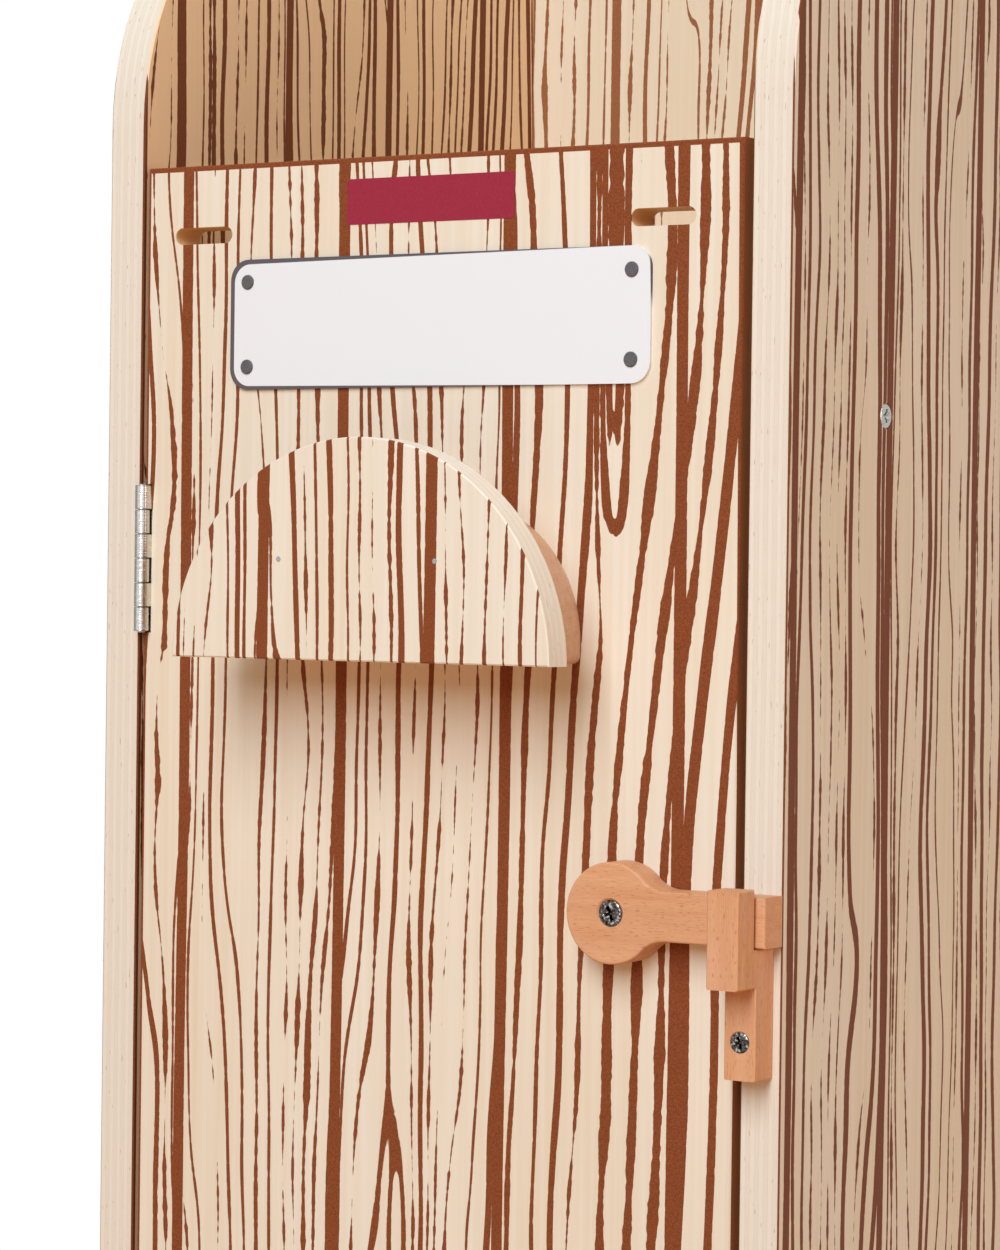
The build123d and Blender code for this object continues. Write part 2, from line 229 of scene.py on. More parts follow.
# The door's print, in mm of its own face. Lines lean over between two heights. They are fine at the left,
# and bolder and further apart towards the right. Higher up some of them fold into loops about one place.
LEAN_FROM, LEAN_TO = 360, 620
RIGHT_FROM, RIGHT_TO = 10, 100
SPREAD_FROM, SPREAD_TO, SPREAD = 20, 160, 36
FINE_FROM, FINE_TO = -90, 60
BOLD_FROM, BOLD_TO, BOLDER = 25, 85, 1.15
FOLD_FROM, FOLD_TO = 462, 560
FOLD_AT, FOLD_REACH, FOLD_DEPTH = 73, 10, 17


def sway(recipe, across, along, seed, lumps):
    """Noise in millimetres, made of lumps of a width, a height and a reach."""
    width, height, reach = lumps
    return recipe.noise(across / width, along / height, seed) * reach


def grain_print(recipe, across, along, seed, band_at, lean=0.0, boldness=1.0):
    """`lean` carries the lines over towards the right end by so many mm, where they are also bolder
    and further apart, and folds some of them into loops that open upwards."""
    area = recipe.step(recipe.noise(across / 90, along / 300, seed + 9), -0.35, 0.3)

    def bent(u, v):
        drift = sway(recipe, u, v, seed, DRIFT)
        wave = sway(recipe, u, v, seed + 3, WAVE)
        swirl = sway(recipe, u, v, seed + 6, SWIRL) * area
        if not lean:
            return u + drift + wave + swirl
        right = recipe.step(u, RIGHT_FROM, RIGHT_TO)
        carried = right * recipe.step(v, LEAN_FROM, LEAN_TO) * lean
        spread = recipe.step(u, SPREAD_FROM, SPREAD_TO) * SPREAD
        fold = recipe.step(u, FOLD_AT - FOLD_REACH, FOLD_AT) & recipe.step(u, FOLD_AT + FOLD_REACH, FOLD_AT)
        fold = fold * recipe.step(v, FOLD_FROM, FOLD_TO) * FOLD_DEPTH
        return u + drift + (wave + swirl) * (1 - right * 0.8) - carried - spread + fold

    here = bent(across, along)
    slope_u = (bent(across + 0.5, along) - here) * 2
    slope_v = (bent(across, along + 0.5) - here) * 2
    slope = (slope_u * slope_u + slope_v * slope_v).root() | 0.3

    lane = (here / LANE).floor()
    chance = recipe.node("ShaderNodeTexWhiteNoise", {"noise_dimensions": "1D"}, {"W": lane + seed * 7.3},
                         output="Color")
    shift, weight, kind = recipe.split("ShaderNodeSeparateColor", chance)
    off = abs(here / LANE - lane - 0.3 - shift * 0.4) * LANE / slope
    broken = recipe.step(kind, WHOLE_SHARE, WHOLE_SHARE + 0.02)
    half = (0.5 + weight * weight * 1.15) * boldness
    if lean:
        half = half * (0.7 + recipe.step(across, FINE_FROM, FINE_TO) * 0.3)
        half = half + recipe.step(across, BOLD_FROM, BOLD_TO) * BOLDER
    long_change = recipe.noise(lane * 3.7, along / 26, seed + 1)
    chips = recipe.noise(lane * 5.1 + across / 9, along / 3.4, seed + 2, detail=1.0)
    solid_half = half + long_change * 0.22 + (chips & 0.0) * 0.25
    broken_half = half * 0.75 - 0.1 + long_change * 1.25 + chips * 0.35
    half = recipe.mix_number(broken, solid_half, broken_half)
    thin = recipe.step(half - off, *INK_EDGE)

    straight = across + recipe.noise(0.3, along / 240, seed + 4) * 1.3
    place = (straight - band_at) / BAND
    band_off = abs(place - (place + 0.5).floor()) * BAND
    edge = BAND_HALF + recipe.noise(place.floor() * 2.3, along / 120, seed + 5) * 0.35
    broad = recipe.step(edge + (chips & 0.0) * 0.2 - band_off, *INK_EDGE)
    return thin | broad


print("lines every", LANE, "mm, broad bands every", BAND, "mm")

# %% [markdown]
# ## Plywood
#
# Where a board is cut, its thin layers show as soft stripes that run along the edge, long grain and
# end grain in turn. The printed faces and the cut edges belong to one node, so one material makes
# both: it looks how far the point lies from the board's middle plane, and paints the print only on
# the two faces.
#
# The door has a printed border, and its cut edges are a darker brown along that border. At the height
# of the door's slots the cut walls are a golden tan, painted warm shade. The walls' inner faces are
# painted warmer than the front, a painted bounce light, as light between them bounces from wood to wood;
# the back panel's inner face is painted darker as well, a painted shade.

# %% Plywood with printed faces and layered edges
LAYER = 1.67  # mm, one veneer of the plywood
CREAM = srgb(241, 228, 210)
TAN = srgb(233, 212, 184)
# Painted bounce light: the warmer colours of the inner faces; the back's is darker too, painted shade.
INSIDE = srgb(250, 210, 164)
BACK_INSIDE = srgb(217, 184, 141)
INK = srgb(136, 72, 41)
# Painted shade: the side boards' ink, a darker copy of the door's, as the sides get less light.
SHADED_SIDE_INK = srgb(122, 68, 42)
BACK_INK = srgb(152, 96, 62)
# A darker brown for the door's cut edges along its border.
EDGE_BROWN = srgb(184, 120, 76)
# Painted warm shade for the cut walls at the height of the door's slots.
HONEY = srgb(224, 178, 126)
EDGE_PALE = srgb(239, 227, 211)
EDGE_DARK = srgb(221, 202, 178)
FLECK = srgb(176, 128, 84)


def veneer(recipe, across, along, seed, pale=CREAM, deep=TAN):
    """Bare pale veneer: faint streaks along the grain and broad warm patches."""
    streak = recipe.noise(across / 2.2, along / 130, seed + 20, detail=2.0)
    patch = recipe.noise(across / 34, along / 210, seed + 21)
    warm = recipe.step(streak * 0.45 + patch * 0.55, -0.55, 0.75, smooth=False)
    return recipe.mix(warm, pale, deep), streak


def layered_edge(recipe, through, run, seed):
    """The cut edge of plywood; `through` counts millimetres across the layers."""
    wavy = through + recipe.noise(run / 60, 0.2, seed + 30) * 0.25
    place = wavy / LAYER
    ply = place.floor()
    turn = (ply / 2) - (ply / 2).floor()
    fibre = recipe.noise(run / 7, through / 0.22, seed + 31, detail=2.0)
    pores = recipe.noise(run / 0.5, through / 0.35, seed + 32, detail=1.0)
    glue = recipe.step(0.5 - abs(place - ply - 0.5), 0.09, 0.0)
    dark = turn * 0.55 + fibre * 0.28 + pores * turn * 0.5 + glue * 0.5
    fleck = recipe.step(recipe.noise(run / 5, through / 0.8, seed + 33, detail=1.0), 0.62, 0.72)
    colour = recipe.mix(recipe.step(dark, -0.1, 1.1, smooth=False), EDGE_PALE, EDGE_DARK)
    return recipe.mix(fleck * 0.5, colour, FLECK), dark


def printed_board(name, node, axes, seed, band_at, printed=True, borders=(), edge_tints=(), inward=0,
                  inner_colour=INSIDE, warmth=0.85, lean=0.0, ink_colour=INK, boldness=1.0):
    """Plywood for a node; its axes are the one through its thickness, then across and along its print.

    A border is an axis, a place, a reach and its tilt, an edge tint an axis, a place, a reach and a colour;
    `inward` is the side of the inner face, whose colour is painted bounce light."""
    thickness_axis, across_axis, along_axis = axes
    low, high = [corner[thickness_axis] * 1000 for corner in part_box(node)]
    middle, half_thickness = (low + high) / 2, (high - low) / 2
    recipe = Recipe(name, Roughness=0.5, Specular_IOR_Level=0.08)
    point = recipe.place()
    across, along, through = point[across_axis], point[along_axis], point[thickness_axis]
    wood, streak = veneer(recipe, across, along, seed)
    if inward:
        # Painted bounce light: the inner face turns warmer; on the back panel it is darker too, painted
        # shade.
        inner = recipe.step((through - middle) * inward, 0, 1)
        wood = recipe.mix(inner * warmth, wood, inner_colour)
    if printed:
        ink = grain_print(recipe, across, along, seed, band_at, lean, boldness)
        for axis, line, reach, tilt in borders:
            place = point[axis] + (along - DOOR_TOP) * tilt if tilt else point[axis]
            ink = ink | recipe.step(reach - abs(place - line), -BORDER_EDGE, BORDER_EDGE)
        speck = recipe.noise(across / 0.45, along / 0.45, seed + 40, detail=1.0)
        inked = recipe.shade(ink_colour, 1 + speck * 0.45)
        wood = recipe.mix(ink, wood, inked)
    run = across + along
    edge, ply = layered_edge(recipe, through - middle, run, seed)
    depth = abs(through - middle)
    on_face = recipe.step(depth, half_thickness - 0.65, half_thickness - 0.45)
    # Edge tints on the cut edges; the golden tan at the door's slots is painted warm shade.
    for axis, line, reach, colour in edge_tints:
        tint_mask = recipe.step(reach - abs(point[axis] - line), -BORDER_EDGE, BORDER_EDGE)
        edge = recipe.mix(tint_mask, edge, colour)
    recipe.feed("Base Color", recipe.mix(on_face, edge, wood))
    recipe.feed("Roughness", 0.5 + streak * 0.05)
    recipe.bump(streak * 0.5 + ply * (1 - on_face), 0.25, 0.0002)
    return recipe.material


X, Y, Z = 0, 1, 2
BORDER_EDGE = 0.08  # mm over which a border or a stain softens
DOOR_LEFT, DOOR_RIGHT, DOOR_BOTTOM, DOOR_TOP = -122.8, 121.9, 18, 634  # mm, the door's printed border
SLOTS_AT = 609  # mm above the floor
finishes = {
    "left_side_panel": printed_board(
        "left_board", "left_side_panel", (X, Y, Z), 11.0, -118.0,
        borders=((Y, -139.8, 1.6, 0),), inward=1, ink_colour=SHADED_SIDE_INK,
    ),
    "right_side_panel": printed_board(
        "right_board", "right_side_panel", (X, Y, Z), 23.0, -135.2,
        borders=((Y, -140, 0.5, 0),), inward=-1, ink_colour=SHADED_SIDE_INK,
    ),
    "back_panel": printed_board(
        "back_board", "back_panel", (Y, X, Z), 37.0, -16.0,
        inward=-1, inner_colour=BACK_INSIDE, warmth=0.35, ink_colour=BACK_INK, boldness=0.88,
    ),
    "door_panel": printed_board(
        "door_board", "door_panel", (Y, X, Z), 8.3, -36.4, lean=18,
        borders=((Z, DOOR_TOP, 1.9, 0), (X, DOOR_RIGHT, 1.9, 0.009), (X, DOOR_LEFT, 1.2, 0),
                 (Z, DOOR_BOTTOM, 1.9, 0)),
        # At the slots' height the cut walls take painted warm shade; the door's cut edges are darker brown
        # along its border.
        edge_tints=((Z, SLOTS_AT, 4.0, HONEY), (Z, DOOR_TOP, 0.4, EDGE_BROWN), (Z, DOOR_BOTTOM, 0.4, EDGE_BROWN),
                (X, DOOR_RIGHT - 0.3, 0.4, EDGE_BROWN), (X, DOOR_LEFT, 0.4, EDGE_BROWN)),
    ),
    "rack_front_plate": printed_board(
        "rack_board", "rack_front_plate", (Y, X, Z), 61.0, -38.5, boldness=0.82,
    ),
    "floor_panel": printed_board("floor_board", "floor_panel", (Z, X, Y), 71.0, 0.0, printed=False),
    "pole_shelf": printed_board("shelf_board", "pole_shelf", (Z, X, Y), 83.0, 0.0, printed=False),
}
print("plywood finishes:", len(finishes))

# %% [markdown]
# ## Beech
#
# The latch, its hook and the rack's block are solid beech: pinkish tan, with faint bands along the
# grain and the short dark flecks that mark the species. Noise stretched along the grain gives the
# bands, and a second noise, stretched less and cut off high, leaves only the flecks.

# %% Solid beech, with the grain along one axis
ROSY = srgb(222, 168, 138)
BEECH_FLECK = srgb(168, 104, 66)


def beech(name, grain_axis, seed, pale=srgb(232, 174, 130), deep=srgb(211, 146, 102)):
    recipe = Recipe(name, Roughness=0.5, Specular_IOR_Level=0.1)
    point = recipe.place()
    along = point[grain_axis]
    first, second = [point[axis] for axis in (X, Y, Z) if axis != grain_axis]
    band = recipe.noise(first / 3.2, second / 3.2, along / 70 + seed, detail=2.0)
    fibre = recipe.noise(first / 0.4, second / 0.4, along / 7 + seed, detail=2.0)
    fleck = recipe.step(recipe.noise(first / 0.42, second / 0.42, along / 2.4 + seed), 0.3, 0.55)
    tone = recipe.step(band * 0.5 + fibre * 0.6, -0.8, 0.8, smooth=False)
    rosy = recipe.step(recipe.noise(first / 9, second / 9, along / 24 + seed + 5), -0.5, 0.6)
    colour = recipe.mix(tone, pale, deep)
    colour = recipe.mix(rosy * 0.35, colour, ROSY)
    colour = recipe.mix(fleck * 0.45, colour, BEECH_FLECK)
    recipe.feed("Base Color", colour)
    recipe.feed("Roughness", 0.48 + fibre * 0.06)
    recipe.bump(fibre, 0.2, 0.0001)
    return recipe.material


finishes["latch_arm"] = beech("latch_beech", X, 1.0)
finishes["latch_keeper"] = beech("keeper_beech", Z, 2.0)
finishes["rack_block"] = beech("block_beech", X, 3.0, srgb(233, 192, 160), srgb(208, 160, 126))
print("beech finishes: 3")

# %% [markdown]
# ## Metal
#
# The hinges and most screws are zinc-plated steel, bright but never a mirror, and the two screws of the
# latch are dark nickel. Turned and rolled metal keeps fine rings, so the noise in the roughness is
# short along the axis and long around it. The tone varies at random, and its bright specks are painted
# glints; on the nickel the strong mottling is painted reflection too. The hinges' steel is lighter than
# the screws', a painted reflection, and its colour falls where two knuckles meet and towards the side
# panel, a painted shade.

# %% Plated steel, dark nickel, and the dark pins of the name plate
KNUCKLES = 6  # along one hinge, three of each leaf
# Painted shade: how dark a hinge turns towards the side panel.
SHADE = 0.38  # the tone of a hinge where it touches the side panel
SHADE_FROM, SHADE_TO = 1.7, 3.0  # mm from the side panel


def plated_metal(name, colour, rough, wear_and_glints=0.07, hinge=None):
    """The fourth argument is how much the tone varies, as wear and as painted glints; `hinge` holds a
    hinge's lowest and highest corner, for its painted shade.
    """
    recipe = Recipe(name, Metallic=1.0)
    point = recipe.place()
    rings = recipe.noise(point[X] / 6, point[Y] / 6, point[Z] / 0.45, detail=1.0)
    marks = recipe.noise(point[X] / 0.8, point[Y] / 0.8, point[Z] / 0.8, detail=1.0)
    # Painted glints: the step's bright specks; with a large amount, as on the nickel, the mottling is
    # painted reflection as well.
    tone = 1 + rings * 0.14 + (marks + recipe.step(marks, 0.25, 0.5) * 2.5) * wear_and_glints
    if hinge:
        low, high = hinge[0] * 1000, hinge[1] * 1000
        pitch = (high.z - low.z) / KNUCKLES
        place = (point[Z] - low.z) / pitch
        from_joint = abs(place - (place + 0.5).floor()) * pitch
        from_panel = point[X] - low.x
        # Painted shade: the tone falls where two knuckles meet and towards the side panel.
        shaded = SHADE + recipe.step(from_panel, SHADE_FROM, SHADE_TO) * (1 - SHADE)
        tone = tone * recipe.step(from_joint, -0.1, 0.6) * shaded
    recipe.feed("Base Color", recipe.shade(colour, tone))
    recipe.feed("Roughness", rough + rings * 0.05 + marks * 0.05)
    recipe.bump(rings, 0.4, 0.0001)
    return recipe.material


steel = plated_metal("plated_steel", srgb(172, 168, 163), 0.24)
# The nickel's strong tone variation is painted glints and painted reflection.
nickel = plated_metal("dark_nickel", srgb(92, 86, 82), 0.14, wear_and_glints=1.3)
for name in nodes:
    if "screw" in name or "pin" in name or "brad" in name:
        finishes[name] = steel
for level in ("upper", "lower"):
    # The hinges' steel is lighter than the screws': a painted reflection, a bright strip beside the painted
    # shade.
    rolled = plated_metal(level + "_hinge_steel", srgb(208, 202, 196), 0.2,
                          hinge=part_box(level + "_hinge_frame_leaf"))
    finishes[level + "_hinge_frame_leaf"] = rolled
    finishes[level + "_hinge_door_leaf"] = rolled

pins = Recipe("dark_pins", Roughness=0.55)
grit = pins.noise(*[axis / 0.5 for axis in pins.place()], detail=1.0)
pins.feed("Base Color", pins.shade(srgb(86, 81, 83), 1 + grit * 0.45))
finishes["name_plate_pins"] = pins.material
print("metal finishes ready")

# %% [markdown]
# ## Name plate
#
# The plate is thin white sheet with a dark grey outline, printed slightly off register: the line is
# widest at the left and thins away towards the right end. The distance to a rounded rectangle gives
# the outline, and its width falls with X.

# %% White plate with its outline
PLATE_LOW, PLATE_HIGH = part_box("name_plate")
LEFT_LINE, TOP_LINE, BOTTOM_LINE = 1.7, 1.75, 1.3  # mm wide, the upper and lower ones at their left ends
RIGHT_LINE = 0.55  # mm wide, at its upper end
TOP_TAPER, BOTTOM_TAPER, RIGHT_TAPER = 0.0107, 0.0098, 0.03  # mm thinner with each mm
LINE_CORNER = 6.5  # mm, the radius inside the outline's corners
PLATE_WHITE = srgb(238, 237, 238)
PLATE_GREY = srgb(92, 84, 87)


def white_plate():
    recipe = Recipe("white_plate", Roughness=0.42, Specular_IOR_Level=0.3)
    point = recipe.place()
    low, high = PLATE_LOW * 1000, PLATE_HIGH * 1000
    from_left = point[X] - low.x
    from_top = high.z - point[Z]
    left_gap = from_left - LEFT_LINE
    right_gap = high.x - point[X] - RIGHT_LINE + from_top * RIGHT_TAPER
    top_gap = from_top - TOP_LINE + from_left * TOP_TAPER
    bottom_gap = point[Z] - low.z - BOTTOM_LINE + from_left * BOTTOM_TAPER
    side = (LINE_CORNER - (left_gap & right_gap)) | 0.0
    rise = (LINE_CORNER - (top_gap & bottom_gap)) | 0.0
    inside = LINE_CORNER - (side * side + rise * rise).root()
    line = recipe.step(inside, 0.12, -0.12)
    recipe.feed("Base Color", recipe.mix(line, PLATE_WHITE, PLATE_GREY))
    return recipe.material


finishes["name_plate"] = white_plate()
print("name plate", [round(v * 1000, 1) for v in PLATE_HIGH - PLATE_LOW], "mm")

# %% [markdown]
# ## Putting the finishes on
#
# A node of the model keeps its mesh. Only its material slot changes.

# %% Assign the finishes
for name, node in nodes.items():
    node.data.materials.clear()
    node.data.materials.append(finishes[name])
print("finished nodes:", len(nodes))

# %% [markdown]
# ## Screws
#
# Every screw is countersunk and has a cross recess. The model gives each its place, length and radii
# with a plain head, which suits a drawing but not a close look. So every screw is turned again in its
# own seat: a profile spun about its axis, with a slightly rounded rim. A Boolean then cuts a tapered
# cross with a bevelled mouth out of its face, and four fine ticks between the arms. The cross of each
# stands at its own angle, as a screwdriver leaves it.

# %% Find the screws that a node holds
def solids_of(mesh):
    """The corners of each separate solid of a mesh."""
    shape = bmesh.new()
    shape.from_mesh(mesh)
    bmesh.ops.remove_doubles(shape, verts=shape.verts, dist=1e-6)
    shape.verts.index_update()
    reached, solids = set(), []
    for first in shape.verts:
        if first.index in reached:
            continue
        reached.add(first.index)
        waiting, corners = [first], []
        while waiting:
            vert = waiting.pop()
            corners.append(vert.co.copy())
            for edge in vert.link_edges:
                other = edge.other_vert(vert)
                if other.index not in reached:
                    reached.add(other.index)
                    waiting.append(other)
        solids.append(corners)
    shape.free()
    return solids


def screw_seat(corners):
    """A matrix whose Z points out of the screw's head, then its length, head radius and shank radius."""
    low = Vector([min(c[i] for c in corners) for i in range(3)])
    high = Vector([max(c[i] for c in corners) for i in range(3)])
    axis = max(range(3), key=lambda i: high[i] - low[i])
    middle = (low + high) / 2

    def radius_at(level):
        ring = [c - middle for c in corners if abs(c[axis] - level) < 1e-5]
        for corner in ring:
            corner[axis] = 0
        return max(corner.length for corner in ring)

    at_low, at_high = radius_at(low[axis]), radius_at(high[axis])
    face = Vector(middle)
    face[axis] = low[axis] if at_low > at_high else high[axis]
    outward = (face - middle).normalized()
    seat = Matrix.Translation(face) @ outward.to_track_quat("Z", "Y").to_matrix().to_4x4()
    return seat, high[axis] - low[axis], max(at_low, at_high), min(at_low, at_high)


pivot = screw_seat(solids_of(nodes["latch_pivot_screw"].data)[0])
print("pivot screw", [round(v * 1000, 2) for v in pivot[1:]], "mm")

# %% Turn the screws and cut their crosses
# All in radii of the head: points of its rim, and the arm, half width and depth of the two crosses
RIM = ((0.6, 0), (0.8, 0.015), (0.89, 0.05), (0.94, 0.1))
CROSS = (0.54, 0.13, 0.5)
TICKS = (0.5, 0.035, 0.07)
MOUTH = (0.36, 0.21)  # radius and depth
LEAST_EDGE = 2e-6  # metres; the Boolean's slivers are shorter
SHARP = math.radians(32)  # steeper edges stay crisp


def turned_screw(length, head, shank):
    """A countersunk screw about Z, its face at Z 0 and its body below."""
    profile = [(0, 0)] + [(head * radius, head * depth) for radius, depth in RIM] + [
        (shank, head - shank), (shank, length - shank * 2), (shank * 0.2, length), (0, length),
    ]
    shape = bmesh.new()
    verts = [shape.verts.new((radius, 0, -depth)) for radius, depth in profile]
    edges = [shape.edges.new(pair) for pair in zip(verts, verts[1:])]
    bmesh.ops.spin(shape, geom=verts + edges, axis=(0, 0, 1), angle=math.tau, steps=36)
    bmesh.ops.remove_doubles(shape, verts=shape.verts, dist=1e-7)
    bmesh.ops.recalc_face_normals(shape, faces=shape.faces)
    return shape


def tapered_cross(arm, half, depth):
    """A cross about Z, its arms 2 * half wide, that narrows from above the face to the recess's bottom."""
    quarter = [(arm, -half), (arm, half), (half, half)]
    outline = [Matrix.Rotation(turn * math.pi / 2, 2) @ Vector(p) for turn in range(4) for p in quarter]
    shape = bmesh.new()
    rings = [[shape.verts.new((p.x * size, p.y * size, z)) for p in outline]
             for size, z in ((1.1, depth * 0.2), (0.45, -depth))]
    shape.faces.new(rings[0])
    shape.faces.new(rings[1])
    for i in range(len(outline)):
        shape.faces.new((rings[0][i - 1], rings[0][i], rings[1][i], rings[1][i - 1]))
    bmesh.ops.recalc_face_normals(shape, faces=shape.faces)
    return shape


def dimple(radius, depth):
    """A cone about Z, its point down: the bevelled mouth of the recess."""
    shape = bmesh.new()
    lift = Matrix.Translation((0, 0, -depth * 0.45))
    bmesh.ops.create_cone(shape, cap_ends=True, segments=28, radius1=0, radius2=radius * 1.1,
                          depth=depth * 1.1, matrix=lift)
    return shape


def solid_object(name, shapes):
    """One object from several small meshes, each with the matrix that places it."""
    whole = bmesh.new()
    for shape, seat in shapes:
        bmesh.ops.transform(shape, matrix=seat, verts=shape.verts)
        part = bpy.data.meshes.new("part")
        shape.to_mesh(part)
        shape.free()
        whole.from_mesh(part)
        bpy.data.meshes.remove(part)
    mesh = bpy.data.meshes.new(name)
    whole.to_mesh(mesh)
    whole.free()
    made = bpy.data.objects.new(name, mesh)
    bpy.context.scene.collection.objects.link(made)
    return made


def cross_screws(node_name, finish):
    """Screws with a cross recess in the places of a node's plain ones."""
    seats = [screw_seat(corners) for corners in solids_of(nodes[node_name].data)]
    turns = random.Random(node_name)
    screws = solid_object("turned_" + node_name, [
        (turned_screw(length, head, shank), seat) for seat, length, head, shank in seats
    ])
    cutters = []
    for seat, length, head, shank in seats:
        angle = turns.uniform(0, math.pi / 2)
        deep = seat @ Matrix.Rotation(angle, 4, "Z")
        shallow = seat @ Matrix.Rotation(angle + math.pi / 4, 4, "Z")
        cutters.append((tapered_cross(*[head * part for part in CROSS]), deep))
        cutters.append((tapered_cross(*[head * part for part in TICKS]), shallow))
        cutters.append((dimple(*[head * part for part in MOUTH]), seat))
    crosses = solid_object("crosses", cutters)
    cut = screws.modifiers.new("recess", "BOOLEAN")
    cut.operation = "DIFFERENCE"
    cut.object = crosses
    cut.use_self = True
    graph = bpy.context.evaluated_depsgraph_get()
    mesh = bpy.data.meshes.new_from_object(screws.evaluated_get(graph))
    screws.modifiers.clear()
    screws.data = mesh
    bpy.data.objects.remove(crosses)
    clean = bmesh.new()
    clean.from_mesh(mesh)
    bmesh.ops.dissolve_degenerate(clean, dist=LEAST_EDGE, edges=clean.edges)
    clean.to_mesh(mesh)
    clean.free()
    mesh.shade_smooth()
    mesh.set_sharp_from_angle(angle=SHARP)
    mesh.materials.clear()
    mesh.materials.append(finish)
    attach(screws, body_of[node_name])
    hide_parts(node_name)
    print(screws.name, len(seats), "screws,", len(mesh.polygons), "faces")


for name in sorted(nodes):
    if "screw" in name:
        cross_screws(name, nickel if name in ("latch_pivot_screw", "keeper_screw") else steel)

# %% [markdown]
# ## Crimson label
#
# Above the name plate sits a small plain crimson label: a thin rectangle with barely rounded corners, a
# little proud of the door.

# %% Crimson label
LABEL_LOW, LABEL_HIGH = (-0.0357, 0.6106), (0.0332, 0.6265)  # X and Z of its corners
LABEL_PROUD, LABEL_THICKNESS = 0.0002, 0.0003  # its face in front of the door's, and its body
LABEL_CORNER = 0.0006
DOOR_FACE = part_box("door_panel")[0].y


def flat_label(low, high, front, thickness):
    """A thin plate in the door's plane, from its front face back to the door."""
    mesh = bpy.data.meshes.new("crimson_label")
    shape = bmesh.new()
    corners = [(low[0], low[1]), (high[0], low[1]), (high[0], high[1]), (low[0], high[1])]
    face = shape.faces.new([shape.verts.new((x, front, z)) for x, z in corners])
    pushed = bmesh.ops.extrude_face_region(shape, geom=[face])
    moved = [v for v in pushed["geom"] if isinstance(v, bmesh.types.BMVert)]
    bmesh.ops.translate(shape, verts=moved, vec=(0, thickness, 0))
    upright = [e for e in shape.edges if abs(e.verts[0].co.y - e.verts[1].co.y) > thickness / 2]
    bmesh.ops.bevel(shape, geom=upright, offset=LABEL_CORNER, segments=3, affect="EDGES")
    bmesh.ops.recalc_face_normals(shape, faces=shape.faces)
    shape.to_mesh(mesh)
    shape.free()
    made = bpy.data.objects.new("crimson_label", mesh)
    bpy.context.scene.collection.objects.link(made)
    return made


label = flat_label(LABEL_LOW, LABEL_HIGH, DOOR_FACE - LABEL_PROUD, LABEL_THICKNESS)
dye = Recipe("crimson_print", Roughness=0.5, Specular_IOR_Level=0.15)
grain = dye.noise(*[axis / 0.4 for axis in dye.place()], detail=1.0)
dye.feed("Base Color", dye.shade(srgb(155, 44, 64), 1 + grain * 0.18))
label.data.materials.append(dye.material)
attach(label, "door")
print("label", [round(v * 1000, 1) for v in label.dimensions], "mm")

# %% [markdown]
# ## Light, floor and camera
#
# The photograph has soft studio light from the front and a little above: the door is brightest, the
# outer side is darker, and the rack throws a soft shadow straight down. One large lamp in front and
# above does that, and smaller lamps fill the side, the inside and the back.
#
# Camera, glossy and transmission rays see a white sky, so the background is white without adding
# light to the object. What lights the object is a faint warm sky instead, as from a wooden room.

# %% Sky and lamps
WARM_SKY, SKY_LEVEL = (1.0, 0.76, 0.58, 1.0), 0.15
WHITE = (1.0, 1.0, 1.0, 1.0)


def soft_lamp(name, place, target, size, watts, colour=(1, 1, 1)):
    data = bpy.data.lights.new(name, "AREA")
    data.shape = "RECTANGLE"
    data.size, data.size_y = size
    data.energy = watts
    data.color = colour
    lamp = bpy.data.objects.new(name, data)
    lamp.location = place
    lamp.rotation_euler = (Vector(target) - Vector(place)).to_track_quat("-Z", "Y").to_euler()
    bpy.context.scene.collection.objects.link(lamp)
    return lamp


def white_sky():
    world = bpy.data.worlds.new("studio")
    world.use_nodes = True
    sky = NodeTree(world.node_tree)
    sky.tree.nodes.clear()
    lit = sky.node("ShaderNodeBackground", inputs={"Color": WARM_SKY, "Strength": SKY_LEVEL})
    white = sky.node("ShaderNodeBackground", inputs={"Color": WHITE, "Strength": 1.0})
    both = sky.node("ShaderNodeMixShader", inputs={0: sky.seen(), 1: lit, 2: white})
    out = sky.tree.nodes.new("ShaderNodeOutputWorld")
    sky.tree.links.new(both.socket, out.inputs["Surface"])
    bpy.context.scene.world = world


white_sky()
middle = (0.0, 0.0, 0.45)
soft_lamp("key", (0.55, -2.6, 2.1), middle, (1.1, 2.5), 87, (0.89, 1.0, 1.09))
soft_lamp("side_fill", (2.7, 0.1, 1.0), middle, (1.4, 1.4), 20, (1.0, 0.97, 0.92))
soft_lamp("top_fill", (0.0, -0.02, 1.5), (0.0, 0.0, 0.6), (0.3, 0.3), 1.8, (1.0, 0.95, 0.88))
soft_lamp("back_fill", (-1.9, 2.2, 1.5), middle, (1.8, 1.8), 58, (1.0, 0.97, 0.93))

# %% [markdown]
# The floor is pale and takes the stable's shadow. Away from the stable it turns into the white of the
# background, so no line shows where it ends. The light that bounces from it is warmer than the floor
# looks, because the shaded undersides in the photograph are warm too.

# %% Floor
FLOOR_HALF, FLOOR_DROP = 6.0, 0.0005  # metres
FADE_FROM, FADE_TO = 350, 1000  # mm from the stable's middle
NEAR_WHITE = 0.45  # how white the floor already is beside the stable

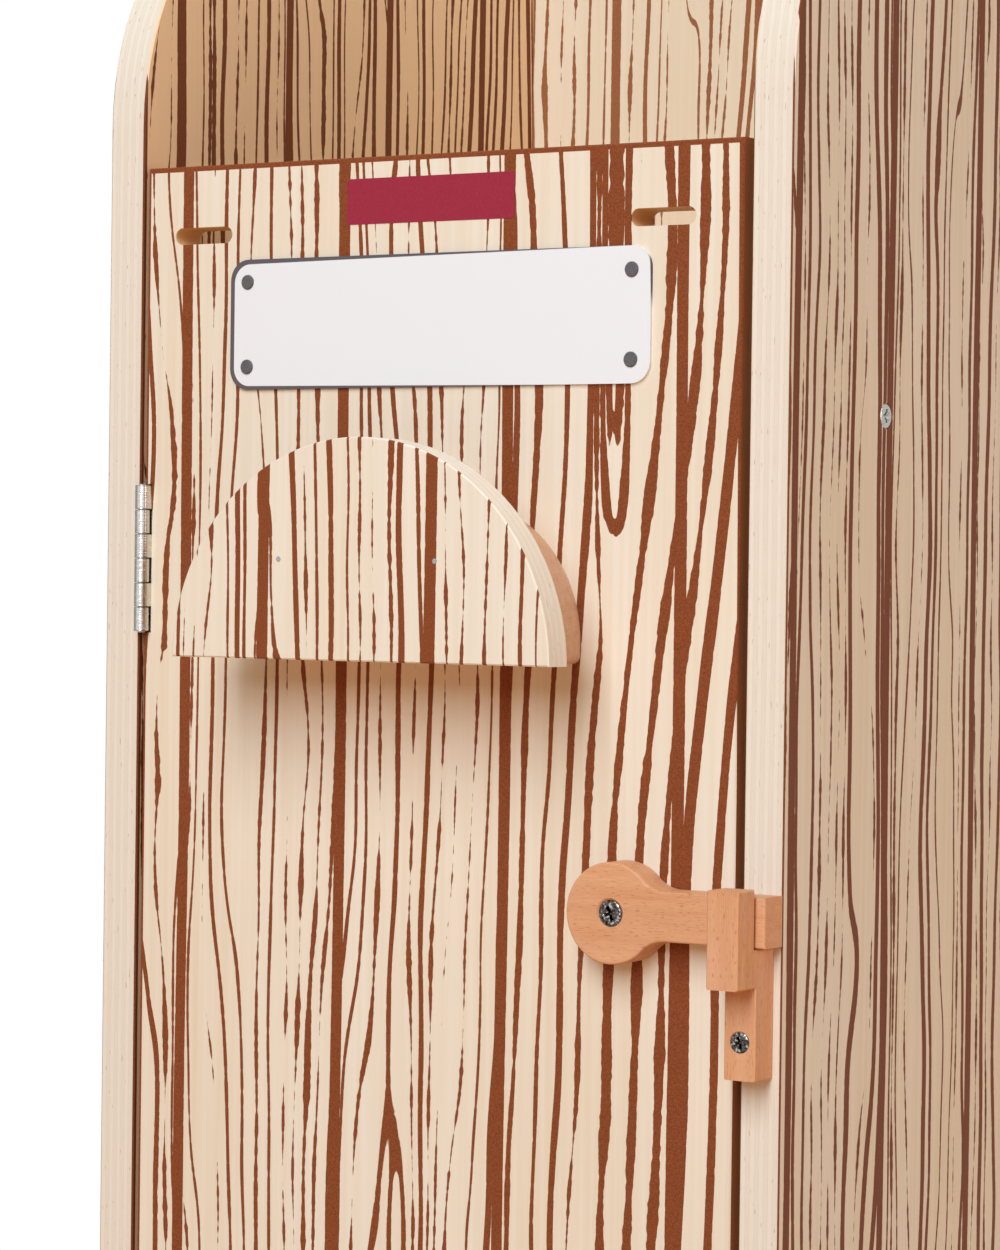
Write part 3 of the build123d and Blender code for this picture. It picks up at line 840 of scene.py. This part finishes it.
corners = [(east * FLOOR_HALF, north * FLOOR_HALF, -FLOOR_DROP) for east, north in
           ((-1, -1), (1, -1), (1, 1), (-1, 1))]
floor_mesh = bpy.data.meshes.new("floor")
floor_mesh.from_pydata(corners, [], [(0, 1, 2, 3)])
floor = bpy.data.objects.new("floor", floor_mesh)
bpy.context.scene.collection.objects.link(floor)

pale = Recipe("pale_floor", Roughness=0.8, Specular_IOR_Level=0.1)
pale.feed("Base Color", pale.mix(pale.seen(), srgb(212, 168, 128), srgb(236, 235, 233)))
spot = pale.place()
away = pale.step((spot[X] * spot[X] + spot[Y] * spot[Y]).root(), FADE_FROM, FADE_TO)
glow = pale.node("ShaderNodeEmission", inputs={"Color": WHITE, "Strength": 1.0})
whitened = (NEAR_WHITE + away * (1 - NEAR_WHITE)) * pale.seen()
shaded_floor = Wire(pale, pale.shader.outputs[0])
surface = pale.node("ShaderNodeMixShader", inputs={0: whitened, 1: shaded_floor, 2: glow})
pale.tree.links.new(surface.socket, pale.tree.nodes["Material Output"].inputs["Surface"])
floor_mesh.materials.append(pale.material)
print("floor", floor.dimensions.x, "m across")

# %% [markdown]
# The camera stands to the right of the door, level with its upper half, and looks in from a third of
# a right angle. Its place and lens come from the straight edges in the photograph.

# %% Camera
CAMERA_AT = Vector((0.7386, -1.2643, 0.4928))
YAW, PITCH, ROLL = math.radians(32.24), math.radians(-0.89), math.radians(0.74)
LENS = 3900 / 1250 * 36  # pixels of focal length on the picture's long side of 1250

ahead = Vector((-math.sin(YAW), math.cos(YAW), 0))
right = Vector((math.cos(YAW), math.sin(YAW), 0))
up = Vector((0, 0, 1))
ahead, up = ahead * math.cos(PITCH) + up * math.sin(PITCH), up * math.cos(PITCH) - ahead * math.sin(PITCH)
right, up = right * math.cos(ROLL) + up * math.sin(ROLL), up * math.cos(ROLL) - right * math.sin(ROLL)
camera_data = bpy.data.cameras.new("camera")
camera_data.lens = LENS
camera_data.sensor_width = 36
camera = bpy.data.objects.new("camera", camera_data)
turn = Matrix((right, up, -ahead)).transposed()
camera.matrix_world = Matrix.Translation(CAMERA_AT) @ turn.to_4x4()
bpy.context.scene.collection.objects.link(camera)
bpy.context.scene.camera = camera
bpy.context.scene.view_settings.view_transform = "Standard"
print("lens", round(LENS, 1), "mm")
